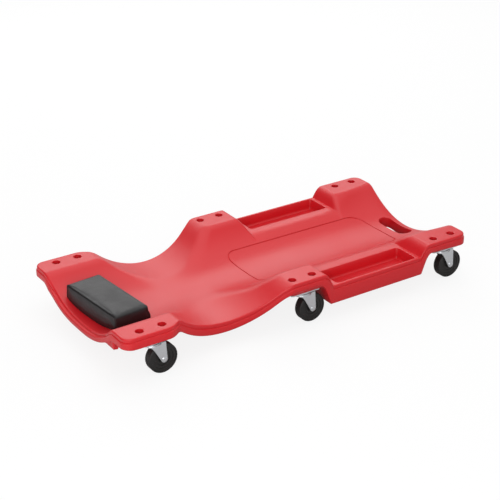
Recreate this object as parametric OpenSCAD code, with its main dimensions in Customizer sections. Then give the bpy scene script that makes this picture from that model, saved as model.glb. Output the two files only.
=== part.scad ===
// Mechanic creeper: a blow-moulded lying board with a padded headrest, on six swivel casters.
// X runs from the head end to the foot end, Y to the left hand of whoever lies on it, Z up.
// The origin is on the floor, under the middle of the board. All sizes are in millimetres.

/* [Board] */
// Overall length of the board
bed_l = 1020; // [1000:5:1060]
// Overall width of the board, over the pads and the trays
bed_w = 472; // [464:2:490]
// Thickness of the moulding at the end pads, from its top skin to its bottom skin
bed_t = 30; // [27:0.5:33]
// Thickness of the moulding in the middle of the board
mid_t = 24; // [21:0.5:27]
// Thickness of the moulding at its very end, under the head
head_lip_t = 20; // [17:0.5:24]
// Radius of the board's four corners, seen from above
corner_r = 26; // [18:1:30]
// Radius of the rolled top edge
edge_r = 6; // [4:0.5:8]
// Width over which one surface of the moulding melts into the next
blend_w = 10; // [6:1:14]
// Width over which the waist melts into the middle pads
waist_blend_w = 18; // [12:1:22]
// Depth of the parting groove round the rim
groove_d = 1.2; // [0.6:0.2:2]
// Height of the parting groove
groove_h = 2.4; // [1.6:0.2:4]

/* [Lying trough] */
// Drop from the end pads to the middle of the trough at the head end
head_dip = 57.5; // [50:0.5:62]
// Drop from the end pads to the middle of the trough at the foot end
foot_dip = 61; // [50:0.5:64]
// Width that the trough leaves each pad at the head end
head_pad_w = 70; // [66:1:78]
// Width that the trough leaves on each side between the trays
tray_side_w = 85; // [76:1:91]
// Width that the trough leaves each pad at the foot end
foot_pad_w = 70; // [66:1:81]

/* [Waist] */
// Width of the board at its narrowest place
waist_w = 396; // [380:2:410]
// Radius of the board's side at the waist, seen from above
waist_plan_r = 420; // [400:10:600]
// Drop from the end pads to the lowest place of the side edge
waist_dip = 57; // [50:0.5:60]
// Distance from the end of a pad to the start of the dip in the side edge
waist_margin = 3; // [1:0.5:8]
// Distance from the lowest place to the narrowest, towards the head
narrow_shift = 17; // [0:1:30]

/* [Pads] */
// Length of the two pads at the head end
head_pad_l = 153; // [147:1:158]
// Length of the head half of each middle pad
mid_pad_half = 60; // [58:1:66]
// Distance of the middle casters from the middle of the board, towards the head
mid_shift = 7; // [0:1:12]
// Height of the middle pads above the end pads
mid_rise = 8; // [4:0.5:12]
// Thickness of plastic left under each bolt recess
seat_t = 12; // [8:0.5:14]
// Diameter of each bolt recess
recess_d = 18.5; // [16:0.5:20]

/* [Trays] */
// Distance from the middle casters to the head end of each tray
tray_lead = 96; // [92:1:104]
// Distance from the foot end of each tray to the foot casters
tray_tail = 103; // [98:1:112]
// Width of each tray's opening
tray_w = 73; // [66:1:76]
// Width of each tray's outer rim
tray_rim = 10; // [8:0.5:12]
// Drop from the end pads to the rim of the trays
tray_drop = 30; // [26:0.5:34]
// Depth of each tray
tray_depth = 27; // [20:0.5:30]
// Height of each tray's outer wall
tray_wall_h = 47.5; // [44:0.5:52]
// How far each tray wall leans over its height
tray_draft = 4; // [2:0.5:6]

/* [Carry handle] */
// Length of the hand slot, across the board
slot_l = 108; // [96:1:120]
// Width of the hand slot
slot_w = 39; // [32:0.5:42]
// Distance from the foot end to the middle of the hand slot
slot_inset = 51; // [48:1:56]
// Radius of the top edge of the grip between the slot and the foot end
grip_r = 12; // [8:0.5:12.5]
// Thickness of the grip
grip_t = 20; // [20:0.5:24]
// Drop of the grip from the slot to the foot end
grip_drop = 5; // [2:0.5:8]

/* [Headrest] */
// Length of the headrest, across the board
rest_l = 222; // [200:1:240]
// Width of the headrest, along the board
rest_w = 103; // [90:1:115]
// Drop from the end pads to the top of the headrest
rest_drop = 12; // [8:0.5:18]
// Distance from the head end to the middle of the headrest
rest_inset = 88; // [80:1:95]
// Angle at which the headrest was screwed down
rest_turn = 5; // [-6:0.5:6]
// Thickness of the board inside the headrest
rest_board_t = 6; // [4:0.5:8]
// Distance between the two headrest screws
rest_screw_gap = 120; // [100:2:140]

/* [Casters] */
// Height of a caster, from the floor to the face it is bolted to
caster_h = 91; // [88:0.5:96]
// Distance from the side of the board to its casters
side_caster_inset = 27; // [25:0.5:30]
// Distance from the head end to the head casters
head_caster_inset = 82; // [76:1:86]
// Distance from the foot end to the foot casters
foot_caster_inset = 69; // [66:1:76]
// How much higher than the others the middle casters are bolted on
mid_lift = 5; // [0:0.5:8]
// Distance between the two bolts of a caster
bolt_gap = 58.5; // [57:0.5:62]
// Diameter of a wheel
wheel_d = 75; // [70:0.5:76]
// Width of a wheel's tread
wheel_w = 22; // [18:0.5:23]
// Distance from a caster's swivel axis to its axle
trail = 25; // [22:0.5:26]
// Diameter of an axle
axle_d = 8; // [7:0.5:9]
// Diameter of a king pin
pin_d = 10; // [8:0.5:11]
// Thickness of the sheet steel in the fork and the plate
sheet_t = 2.5; // [2:0.25:3]
// Diameter of a bearing ball
ball_d = 5; // [4.5:0.25:5.5]
// Number of balls in a swivel bearing
ball_count = 14; // [8:1:16]

/* [Hidden] */
// Clearances: round a turning shaft, beside a wheel, under fixed soft or dished pieces
run_fit = 0.05;
side_gap = 0.3;
rest_gap = 0.5;
// Overrun of every cut past the face it cuts
cut = 1;

// Heights above the floor
end_top = caster_h + bed_t;
mid_top = end_top + mid_rise;
head_low = end_top - head_dip;
foot_low = end_top - foot_dip;
waist_low = end_top - waist_dip;
tray_top = end_top - tray_drop;
tray_floor = tray_top - tray_depth;
tray_under = tray_top - tray_wall_h;
seat_z = caster_h + seat_t;

// Places along and across the board
half_l = bed_l/2;
half_w = bed_w/2;
caster_y = half_w - side_caster_inset;
head_x = head_caster_inset - half_l;
mid_x = -mid_shift;
foot_x = half_l - foot_caster_inset;
head_pad_end = head_pad_l - half_l;
mid_pad_start = mid_x - mid_pad_half;
waist_x = (head_pad_end + mid_pad_start)/2;
waist_half = (mid_pad_start - head_pad_end)/2 - waist_margin;
waist_r = (waist_half*waist_half + waist_dip*waist_dip)/(2*waist_dip);
narrow_x = waist_x - narrow_shift;
head_flare = 45;
mid_flare = 34;
tray_start = mid_x + tray_lead;
tray_end = foot_x - tray_tail;
tray_out = half_w - tray_rim;
tray_in = tray_out - tray_w;
head_trough_w = bed_w - 2*head_pad_w;
foot_trough_w = bed_w - 2*tray_side_w;
foot_end_w = bed_w - 2*foot_pad_w;
grip_x = half_l - slot_inset + slot_w/2;

// Ramps from the pads down to the trays, on the top and on the underside
mid_ramp_l = 46;
foot_ramp_l = 29;
foot_ramp_lead = 14;
mid_ramp_x = tray_start - mid_ramp_l + tray_draft/2;
foot_ramp_x = tray_end + foot_ramp_lead;
arch_l = 36;
arch_lead = 8;
foot_arch_l = 28;
foot_arch_lead = 16;
foot_arch_power = 5;
mid_arch_x = mid_ramp_x - arch_lead;
foot_arch_x = tray_end + foot_arch_lead;
foot_arch_end = foot_arch_x + foot_arch_l;
// Length over which the underside drops behind the thin lip at the head end
head_lip_l = 36;
// Step on the underside from the lying panel down to the trays
well_w = 12;
well_y = tray_in - well_w - side_gap;
// Bottom edge, the flat bosses that the casters are bolted to, and the parting groove
under_r = 4;
boss_ramp = 5;
groove_lead = 0.5;

// Caster sizes that follow one another
plate_end = 12.75;
plate_l = bolt_gap + 2*plate_end;
plate_w = 40;
plate_corner_r = 6;
race_d = 40;
race_h = 2;
ball_ring_d = 32;
lip_gap = 0.8;
lip_t = 1.8;
lip_h = 3;
crown_d = 48;
swivel_gap = 0.7*ball_d;
hub_proud = 1.2;
hub_w = wheel_w + 2*hub_proud;
hub_d = 23;
step_drop = 1.6;
tread_round = 2.5;
bush_wall = 2;
bush_d = axle_d + 2*bush_wall;
leg_gap = hub_w + 2*side_gap;
leg_top_x = 8;
leg_tip_r = 8;
leg_lean = 3;
leg_flare = 11;
leg_flare_share = 0.4;
pin_head_lap = 3;
pin_head_d = pin_d + 2*pin_head_lap;
pin_head_h = 3;
axle_head_d = 11;
axle_head_h = 1.8;
plate_z = caster_h - sheet_t;
race_z = plate_z - race_h;
crown_z = race_z - swivel_gap;
ball_z = (race_z + crown_z)/2;
axle_z = wheel_d/2;

// M6 bolts, nuts and washers that hold the casters
bolt_d = 6;
bolt_hole_d = 6.6;
bolt_head_d = 10.5;
bolt_head_h = 3.3;
bolt_key = 4;
bolt_key_depth = 2;
bolt_tail = 1.5;
nut_w = 10;
nut_h = 5;
washer_d = 16;
washer_hole_d = 6.4;
washer_t = 1.6;

// Headrest sizes
rest_x = rest_inset - half_l;
rest_top = end_top - rest_drop;
rest_corner_r = 9;
rest_crown = 2;
rest_edge_r = 5;
rest_pull = 2.5;
rest_overhang = 9;
rest_screw_d = 5;
rest_screw_hole_d = 5.5;
rest_head_d = 9;
rest_head_h = 3.5;
rest_recess_d = 12;
rest_recess = 5;
rest_tip_cover = 1;

// Colours, as the finishes look
red_plastic = [0.80, 0.16, 0.18];
black_vinyl = [0.14, 0.14, 0.15];
plywood = [0.72, 0.56, 0.36];
zinc = [0.78, 0.80, 0.82];
black_plastic = [0.11, 0.11, 0.12];

// Each caster's name, its place along and across the board, and how much higher it sits
PLACES = [["head", head_x, 0], ["middle", mid_x, mid_lift], ["foot", foot_x, 0]];
SIDES = [["left", 1], ["right", -1]];
STATIONS = [for (p = PLACES, s = SIDES) [str(p[0], "_", s[0]), [p[1], s[1]*caster_y, p[2]]]];
CASTER_PARTS = ["plate", "king_pin", "balls", "fork", "axle", "bush", "wheel"];
FIXED = ["board", "headrest_base", "headrest_pad", "headrest_screws",
         "caster_bolts", "caster_washers", "caster_nuts"];

// Blending functions
function held(v) = min(max(v, 0), 1);
function eased(v) = let (c = held(v)) c*c*(3 - 2*c);
function mixed(a, b, share) = a + (b - a)*share;
function curled(v, power = 2) = 1 - pow(1 - held(v), power);
function soft_min(a, b, w = blend_w) =
    let (h = held(0.5 + (b - a)/(2*w)))
    mixed(b, a, h) - w*h*(1 - h);

// Height of the side edge along the board: head pads, waist, middle pads, trays, foot pads
function waist_arc(x) =
    let (d = min(abs(x - waist_x), waist_r))
    waist_low + waist_r - sqrt(waist_r*waist_r - d*d);
function edge_top(x) =
    x < waist_x ? soft_min(end_top, waist_arc(x))
    : x < mid_ramp_x ? soft_min(mid_top, waist_arc(x), waist_blend_w)
    : x < foot_ramp_x ? mixed(mid_top, tray_top, eased((x - mid_ramp_x)/mid_ramp_l))
    : mixed(tray_top, end_top, curled((x - foot_ramp_x)/foot_ramp_l));

// Height of the trough that the body lies in, before the side edge cuts it off
head_wall_power = 2.8;
foot_wall_power = 2;
function trough(x, y) =
    let (past_trays = eased((x - foot_ramp_x)/(half_l - foot_ramp_x)),
         drop = grip_drop*eased((x - grip_x)/(half_l - grip_x)),
         low = mixed(head_low, foot_low, held((x + half_l)/bed_l)) - drop,
         at_head = pow(2*abs(y)/head_trough_w, head_wall_power),
         at_foot = pow(2*abs(y)/mixed(foot_trough_w, foot_end_w, past_trays), foot_wall_power),
         past_head = eased((x - head_pad_end)/(mid_pad_start - head_pad_end)))
    low + (end_top - low)*mixed(at_head, at_foot, past_head);
function dish_z(x, y) = soft_min(trough(x, y), edge_top(x));

// Half the board's width along its length, and the distance of a point from the outline
function waist_side(x) =
    let (d = min(abs(x - narrow_x), waist_plan_r))
    min(waist_w/2 + waist_plan_r - sqrt(waist_plan_r*waist_plan_r - d*d), half_w);
function side_y(x) =
    let (wide = eased((head_pad_end + edge_r - x)/head_flare) + eased((x - mid_pad_start)/mid_flare),
         d = max(abs(x) - half_l + corner_r, 0))
    mixed(waist_side(x), half_w, held(wide)) - corner_r + sqrt(corner_r*corner_r - d*d);
function inside(x, y) =
    let (cx = abs(x) - half_l + corner_r, cy = abs(y) - half_w + corner_r)
    cx > 0 && cy > 0 ? corner_r - norm([cx, cy]) : min(side_y(x) - abs(y), half_l - abs(x));
function round_over(x, y, r) =
    let (d = r - min(max(inside(x, y), 0), r))
    r - sqrt(r*r - d*d);

// Top skin: the surface with its rolled edge and the two trays sunk into it
function in_tray(x, y) =
    held(min(x - tray_start, tray_end - x, abs(y) - tray_in, tray_out - abs(y))/tray_draft);
function in_grip(y) = held(1 - pow(2*y/foot_end_w, 2));
function grip_round_over(x, y) =
    let (r = mixed(edge_r, grip_r, in_grip(y)), s = held((x - half_l + r)/r))
    r*(1 - sqrt(1 - s*s));
function top_z(x, y) =
    mixed(dish_z(x, y), tray_floor, in_tray(x, y))
    - max(round_over(x, y, edge_r), grip_round_over(x, y));

// Bottom skin: it follows the surface, drops under the trays and is flat over the casters
function skin_t(x, y) =
    let (past_head = eased((x - head_pad_end)/(mid_pad_start - head_pad_end)),
         past_trays = eased((x - foot_arch_end)/(half_l - foot_arch_end)),
         end_t = mixed(bed_t, grip_t, in_grip(y)),
         t = mixed(mixed(bed_t, mid_t, past_head), end_t, past_trays))
    mixed(head_lip_t, t, eased((x + half_l)/head_lip_l));
function under_tray(x, y) =
    eased((x - mid_arch_x)/arch_l)*(1 - curled((x - foot_arch_x)/foot_arch_l, foot_arch_power))
    *eased((abs(y) - well_y)/well_w);
function under_boss(x, y) =
    held(1 + min(boss_x - abs(x), plate_w/2 + side_gap - abs(abs(y) - caster_y))/boss_ramp);
function bottom_z(x, y) =
    let (skin = mixed(dish_z(x, y) - skin_t(x, y), tray_under, under_tray(x, y)),
         at_mid = mixed(skin, caster_h + mid_lift, under_boss(x - mid_x, y)),
         at_ends = max(under_boss(x - head_x, y), under_boss(x - foot_x, y)))
    mixed(at_mid, caster_h, at_ends) + round_over(x, y, under_r);

// Grid lines of the skins: along the board, and across it from the middle to the edge
edge_shares = [0, 0.1, 0.4, 1];
pad_shares = [0.1, 0.22];
curl_shares = [0, 0.06, 0.14, 0.26, 0.42, 0.66];
boss_x = plate_l/2 + side_gap;
boss_y = caster_y - plate_w/2 - side_gap;
flare_x = head_pad_end + edge_r;
function steps(a, b, n) = [for (k = [0:n - 1]) mixed(a, b, k/n)];
END_LINES = concat(edge_r*edge_shares, [(edge_r + corner_r)/2]);
LINES_X = concat(
    [for (d = END_LINES) d - half_l],
    steps(corner_r - half_l, flare_x - head_flare, 3),
    steps(flare_x - head_flare, flare_x, 5),
    steps(flare_x, mid_pad_start, 16),
    [mid_pad_start, mid_x - boss_x - boss_ramp, mid_x - boss_x, mid_x, mid_x + boss_x],
    steps(mid_x + boss_x + boss_ramp, tray_start, 5),
    [tray_start],
    steps(tray_start + tray_draft, tray_end - tray_draft, 3),
    [tray_end - tray_draft, tray_end],
    [foot_ramp_x],
    [for (s = curl_shares) mixed(foot_arch_x, foot_arch_end, s)],
    [foot_arch_end, foot_x - boss_x - boss_ramp, foot_x - boss_x, foot_x, half_l - corner_r],
    [for (k = [1:len(END_LINES)]) half_l - END_LINES[len(END_LINES) - k]]);
LINES_Y = concat(
    steps(0, tray_in, 10),
    [tray_in, tray_in + tray_draft],
    [for (s = pad_shares) mixed(tray_in + tray_draft, tray_out - tray_draft, s)],
    [boss_y - boss_ramp, boss_y, (boss_y + tray_out)/2, tray_out - tray_draft, tray_out]);
inner_n = len(LINES_Y);
side_n = inner_n + len(edge_shares);
board_nx = len(LINES_X);
board_ny = 2*side_n - 1;
function line_y(x, k) =
    k < inner_n ? LINES_Y[k]*(side_y(x) - tray_rim)/tray_out
    : side_y(x) - edge_r*edge_shares[side_n - 1 - k];
function grid_y(x, j) = j < side_n ? -line_y(x, side_n - 1 - j) : line_y(x, j - side_n + 1);

// A closed skin over a grid: nx by ny points on top, as many below, and rings of points between
function rim(nx, ny) = concat(
    [for (i = [0:nx - 1]) i*ny],
    [for (j = [1:ny - 1]) (nx - 1)*ny + j],
    [for (i = [nx - 2:-1:0]) i*ny + ny - 1],
    [for (j = [ny - 2:-1:1]) j]);
function skin_faces(nx, ny, rings) =
    let (n = nx*ny, edge = rim(nx, ny), m = len(edge),
         row = function (r, k) r == 0 ? edge[k % m] : r > rings ? n + edge[k % m]
                               : 2*n + (r - 1)*m + k % m)
    concat(
        [for (i = [0:nx - 2], j = [0:ny - 2])
            let (a = i*ny + j, b = a + 1, c = b + ny, d = a + ny)
            each j < (ny - 1)/2 ? [[a, b, c], [a, c, d], [n + a, n + c, n + b], [n + a, n + d, n + c]]
            : [[a, b, d], [b, c, d], [n + a, n + d, n + b], [n + b, n + d, n + c]]],
        [for (r = [0:rings], k = [0:m - 1])
            each [[row(r, k), row(r, k + 1), row(r + 1, k + 1)],
                  [row(r, k), row(r + 1, k + 1), row(r + 1, k)]]]);

// Outward direction at the rim, and the parting groove's three rings of points
function outward(p) =
    let (cx = half_l - corner_r, cy = half_w - corner_r,
         v = abs(p.x) > cx ? [p.x - sign(p.x)*cx, abs(p.y) > cy ? p.y - sign(p.y)*cy : 0] : [0, p.y])
    v/norm(v);
function groove_point(t, step) =
    let (out = outward(t), d = step == 1 ? groove_d : 0)
    [t.x - out.x*d, t.y - out.y*d, t.z - groove_lead - step*groove_h/2];

module board_body() {
    spots = [for (x = LINES_X, j = [0:board_ny - 1]) [x, grid_y(x, j)]];
    top = [for (s = spots) [s.x, s.y, top_z(s.x, s.y)]];
    under = [for (s = spots) [s.x, s.y, bottom_z(s.x, s.y)]];
    edge = rim(board_nx, board_ny);
    groove = [for (step = [0:2], e = edge) groove_point(top[e], step)];
    polyhedron(concat(top, under, groove), skin_faces(board_nx, board_ny, 3));
}

module slot(l, w, h) {
    for (e = [-1, 1]) translate([0, e*(l - w)/2, 0]) cylinder(d = w, h = h, $fn = 64);
    translate([-w/2, (w - l)/2, 0]) cube([w, l - w, h]);
}

// The places of the bolts, two to a caster, and of the two headrest screws
module at_bolts() {
    for (s = STATIONS, e = [-1, 1]) translate(s[1] + [e*bolt_gap/2, 0, 0]) children();
}
module at_rest_screws() {
    for (e = [-1, 1]) translate([rest_x, 0, 0]) rotate(rest_turn)
        translate([0, e*rest_screw_gap/2, 0]) children();
}
rest_seat_z = dish_z(rest_x, rest_screw_gap/2) - skin_t(rest_x, rest_screw_gap/2) + rest_recess;

module board() color(red_plastic) difference() {
    board_body();
    at_bolts() {
        translate([0, 0, seat_z]) cylinder(d = recess_d, h = mid_top - seat_z + cut, $fn = 48);
        translate([0, 0, caster_h - cut]) cylinder(d = bolt_hole_d, h = seat_t + 2*cut, $fn = 32);
    }
    translate([half_l - slot_inset, 0, 0]) slot(slot_l, slot_w, end_top);
    at_rest_screws() {
        cylinder(d = rest_screw_hole_d, h = end_top, $fn = 32);
        cylinder(d = rest_recess_d, h = rest_seat_z, $fn = 32);
    }
}

// A spot of the headrest, given from its own middle, and the dished surface under it
function rest_spot(x, y) =
    [rest_x + x*cos(rest_turn) - y*sin(rest_turn), x*sin(rest_turn) + y*cos(rest_turn)];
function rest_point(x, y, lift) = let (s = rest_spot(x, y)) [s.x, s.y, dish_z(s.x, s.y) + lift];
function rest_level(x, y, z) = let (s = rest_spot(x, y)) [s.x, s.y, z];
base_l = rest_l - 2*rest_overhang;
base_w = rest_w - 2*rest_overhang;
base_nx = 6;
base_ny = 15;

module headrest_base() color(plywood) difference() {
    spots = [for (i = [0:base_nx - 1], j = [0:base_ny - 1])
        [base_w*(i/(base_nx - 1) - 0.5), base_l*(j/(base_ny - 1) - 0.5)]];
    polyhedron(
        concat([for (s = spots) rest_point(s.x, s.y, rest_gap + rest_board_t)],
               [for (s = spots) rest_point(s.x, s.y, rest_gap)]),
        skin_faces(base_nx, base_ny, 0));
    at_rest_screws() cylinder(d = rest_screw_d, h = end_top, $fn = 32);
}

// Outline of a cushion: a rectangle with rounded corners whose sides pull in between them
long_n = 13;
short_n = 6;
corner_n = 3;
function rounded(a, b, r) = concat(
    [for (q = [0:3])
        let (sx = q == 0 || q == 3 ? 1 : -1, sy = q < 2 ? 1 : -1,
             n = q % 2 == 0 ? short_n : long_n,
             along = q % 2 == 0 ? [-2*sx*(a - r), 0] : [0, -2*sy*(b - r)],
             from = [sx*(a - r), sy*(b - r)] + r*[cos(90*(q + 1)), sin(90*(q + 1))])
        each concat(
            [for (k = [0:corner_n]) let (t = 90*(q + k/corner_n))
                [sx*(a - r) + r*cos(t), sy*(b - r) + r*sin(t)]],
            [for (k = [1:n - 1]) from + along*k/n])]);
function drawn_in(p, a, b, pull) =
    [p.x*(1 - pull/a*(1 - pow(p.y/b, 2))), p.y*(1 - pull/b*(1 - pow(p.x/a, 2)))];

// Rings of the headrest pad from under its middle, round its side and up to its crown:
// how far each is drawn inside the outline, its pull, and its height share from dish to top
ring_n = 4*(corner_n + 1) + 2*(long_n - 1) + 2*(short_n - 1);
pad_a = rest_w/2;
pad_b = rest_l/2;
pocket_in = rest_overhang - side_gap;
roof = rest_gap + rest_board_t + rest_gap;
roof_shares = [0.3, 0.65, 1];
side_shares = [[0.12, 0], [0.5, 1], [0.8, 0.7]];
edge_shares_up = [[0, 0], [0.35, 0.6], [1, 1]];
crown_shares = [0.9, 0.7, 0.45, 0.2];
function ring(in, pull) =
    [for (p = rounded(pad_a - in, pad_b - in, rest_corner_r)) drawn_in(p, pad_a, pad_b, pull)];
pocket = rounded(pad_a - pocket_in, pad_b - pocket_in, side_gap);

module headrest_pad() color(black_vinyl) {
    crown_z = rest_top - rest_crown;
    under = [for (s = roof_shares) [for (p = pocket) rest_point(s*p.x, s*p.y, roof)]];
    skirt = [for (r = [pocket, ring(rest_edge_r/2, 0)]) [for (p = r) rest_point(p.x, p.y, rest_gap)]];
    side = [for (s = side_shares) [for (p = ring(0, s[1]*rest_pull))
        let (foot = rest_point(p.x, p.y, rest_gap))
        [foot.x, foot.y, mixed(foot.z, crown_z - rest_edge_r/2, s[0])]]];
    edge = [for (s = edge_shares_up) [for (p = ring(s[0]*rest_edge_r, rest_pull))
        rest_level(p.x, p.y, crown_z - rest_edge_r/2*(1 - s[1]))]];
    crown = [for (s = crown_shares) [for (p = ring(rest_edge_r, rest_pull))
        rest_level(p.x*s, p.y*s, rest_top - rest_crown*s*s)]];
    rings = concat(under, skirt, side, edge, crown);
    last = len(rings)*ring_n;
    polyhedron(
        concat([for (r = rings) each r], [rest_point(0, 0, roof), rest_level(0, 0, rest_top)]),
        concat(
            [for (r = [0:len(rings) - 2], k = [0:ring_n - 1])
                let (a = r*ring_n + k, b = r*ring_n + (k + 1) % ring_n)
                each [[a, a + ring_n, b + ring_n], [a, b + ring_n, b]]],
            [for (k = [0:ring_n - 1]) let (b = (k + 1) % ring_n)
                each [[last, k, b], [last + 1, last - ring_n + b, last - ring_n + k]]]));
}

module headrest_screws() color(zinc) {
    tip = dish_z(rest_x, rest_screw_gap/2) + rest_gap + rest_board_t - rest_tip_cover;
    at_rest_screws() {
        translate([0, 0, rest_seat_z]) cylinder(d = rest_screw_d, h = tip - rest_seat_z, $fn = 32);
        translate([0, 0, rest_seat_z - rest_head_h]) cylinder(d = rest_head_d, h = rest_head_h, $fn = 32);
    }
}

// Fasteners of the casters: button-head bolts from below, washers and nuts in the recesses
module caster_bolts() color(zinc) at_bolts() difference() {
    union() {
        translate([0, 0, plate_z]) cylinder(d = bolt_d,
            h = seat_z + washer_t + nut_h + bolt_tail - plate_z, $fn = 32);
        translate([0, 0, plate_z - bolt_head_h])
            cylinder(d1 = bolt_d, d2 = bolt_head_d, h = bolt_head_h/2, $fn = 32);
        translate([0, 0, plate_z - bolt_head_h/2])
            cylinder(d = bolt_head_d, h = bolt_head_h/2, $fn = 32);
    }
    translate([0, 0, plate_z - bolt_head_h - cut])
        cylinder(d = bolt_key/cos(30), h = bolt_key_depth + cut, $fn = 6);
}
module caster_washers() color(zinc) at_bolts() translate([0, 0, seat_z]) difference() {
    cylinder(d = washer_d, h = washer_t, $fn = 32);
    translate([0, 0, -cut]) cylinder(d = washer_hole_d, h = washer_t + 2*cut, $fn = 32);
}
module caster_nuts() color(zinc) at_bolts() translate([0, 0, seat_z + washer_t]) difference() {
    cylinder(d = nut_w/cos(30), h = nut_h, $fn = 6);
    translate([0, 0, -cut]) cylinder(d = bolt_d, h = nut_h + 2*cut, $fn = 32);
}

// Parts of one caster, with its swivel axis at the origin and its wheel trailing to +X
module ball_groove() {
    translate([0, 0, ball_z]) rotate_extrude($fn = 64) translate([ball_ring_d/2, 0])
        circle(d = ball_d + 2*run_fit, $fn = 32);
}
module plate() color(zinc) difference() {
    union() {
        translate([0, 0, plate_z]) linear_extrude(sheet_t) difference() {
            union() {
                square([plate_l - 2*plate_corner_r, plate_w], center = true);
                square([plate_l, plate_w - 2*plate_corner_r], center = true);
                for (x = [-1, 1], y = [-1, 1])
                    translate([x*(plate_l/2 - plate_corner_r), y*(plate_w/2 - plate_corner_r)])
                        circle(r = plate_corner_r, $fn = 32);
            }
            for (e = [-1, 1]) translate([e*bolt_gap/2, 0]) circle(d = bolt_hole_d, $fn = 32);
        }
        translate([0, 0, race_z]) cylinder(d = race_d, h = race_h, $fn = 64);
    }
    translate([0, 0, race_z - cut]) cylinder(d = pin_d, h = caster_h - race_z + 2*cut, $fn = 48);
    ball_groove();
}
module king_pin() color(zinc) {
    top = crown_z - sheet_t - side_gap;
    translate([0, 0, top]) cylinder(d = pin_d, h = caster_h - top, $fn = 48);
    translate([0, 0, top - pin_head_h/2]) cylinder(d = pin_head_d, h = pin_head_h/2, $fn = 48);
    translate([0, 0, top - pin_head_h])
        cylinder(d1 = pin_d, d2 = pin_head_d, h = pin_head_h/2, $fn = 48);
}
module balls() color(zinc) for (k = [1:ball_count]) rotate(360*k/ball_count)
    translate([ball_ring_d/2, 0, ball_z]) sphere(d = ball_d, $fn = 24);

// Side view of a fork leg: straight edges run down from the crown, tangent to its rounded tip
function touch(p, side) =
    let (v = p - [trail, axle_z], d = norm(v), t = atan2(v.y, v.x) + side*acos(leg_tip_r/d))
    [trail, axle_z] + leg_tip_r*[cos(t), sin(t)];
function bend(a, b, c) = [for (k = [0:6]) mixed(mixed(a, b, k/6), mixed(b, c, k/6), k/6)];
module leg_outline() {
    front = [-leg_top_x, crown_z - sheet_t];
    back = [trail + leg_tip_r - leg_lean, crown_z];
    flare = bend([-leg_top_x - leg_flare, crown_z], front, mixed(front, touch(front, 1), leg_flare_share));
    difference() {
        union() {
            polygon(concat(flare, [touch(front, 1), [trail, axle_z], touch(back, -1), back]));
            translate([trail, axle_z]) circle(r = leg_tip_r, $fn = 48);
        }
        translate([trail, axle_z]) circle(d = axle_d, $fn = 48);
    }
}
module fork() color(zinc) difference() {
    union() {
        translate([0, 0, crown_z - sheet_t]) {
            cylinder(d = crown_d, h = sheet_t, $fn = 64);
            translate([-leg_top_x, -leg_gap/2 - sheet_t, 0])
                cube([trail + leg_tip_r - leg_lean + leg_top_x, leg_gap + 2*sheet_t, sheet_t]);
        }
        translate([0, 0, crown_z - sheet_t])
            cylinder(d = race_d + 2*lip_gap + 2*lip_t, h = sheet_t + lip_h, $fn = 64);
        for (s = [-leg_gap/2, leg_gap/2 + sheet_t]) translate([0, s, 0])
            rotate([90, 0, 0]) linear_extrude(sheet_t) leg_outline();
    }
    translate([0, 0, crown_z]) cylinder(d = race_d + 2*lip_gap, h = lip_h + cut, $fn = 64);
    translate([0, 0, crown_z - sheet_t - cut])
        cylinder(d = pin_d + 2*run_fit, h = sheet_t + 2*cut, $fn = 48);
    ball_groove();
}

// Turns a profile drawn as [radius, distance along the axle] about the axle
module about_axle() {
    translate([trail, 0, axle_z]) rotate([90, 0, 0]) rotate_extrude($fn = 96) children();
}
module axle() color(zinc) about_axle() {
    half = leg_gap/2 + sheet_t;
    polygon([
        [0, -half - axle_head_h], [axle_d/2, -half - axle_head_h],
        [axle_head_d/2, -half - axle_head_h/2], [axle_head_d/2, -half], [axle_d/2, -half],
        [axle_d/2, half], [axle_head_d/2, half], [axle_head_d/2, half + axle_head_h/2],
        [axle_d/2, half + axle_head_h], [0, half + axle_head_h]]);
}
module bush() color(zinc) about_axle()
    translate([axle_d/2 + run_fit, -hub_w/2]) square([(bush_d - axle_d)/2 - run_fit, hub_w]);

// Half-widths of the wheel's steps, from the hub out to the tread
step_r_shares = [0.5, 0.7, 0.88];
module wheel() color(black_plastic) about_axle() {
    r = wheel_d/2;
    levels = [for (k = [0:2]) wheel_w/2 - step_drop*(3 - k)];
    side = concat(
        [[bush_d/2, hub_w/2], [hub_d/2 - step_drop, hub_w/2], [hub_d/2, levels[0]]],
        [for (k = [0:2]) each [[r*step_r_shares[k], levels[k]],
                               [r*step_r_shares[k] + step_drop/2, k < 2 ? levels[k + 1] : wheel_w/2]]],
        [for (t = [90:-22.5:0]) [r - tread_round*(1 - cos(t)), wheel_w/2 - tread_round*(1 - sin(t))]]);
    polygon(concat(side, [for (k = [1:len(side)]) let (p = side[len(side) - k]) [p.x, -p.y]]));
}

module at_station(s) {
    translate(s[1]) children();
}

board();
headrest_base();
headrest_pad();
headrest_screws();
caster_bolts();
caster_washers();
caster_nuts();
for (s = STATIONS) {
    at_station(s) plate();
    at_station(s) king_pin();
    at_station(s) balls();
    at_station(s) fork();
    at_station(s) axle();
    at_station(s) bush();
    at_station(s) wheel();
}
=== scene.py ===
"""Mechanic creeper: a red blow-moulded lying board on six swivel casters, with a padded headrest.

X runs from the head end to the foot end, Y to the left hand of whoever lies on it, Z up.
"""
import math

import bmesh
import bpy
from mathutils import Matrix, Vector


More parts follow.
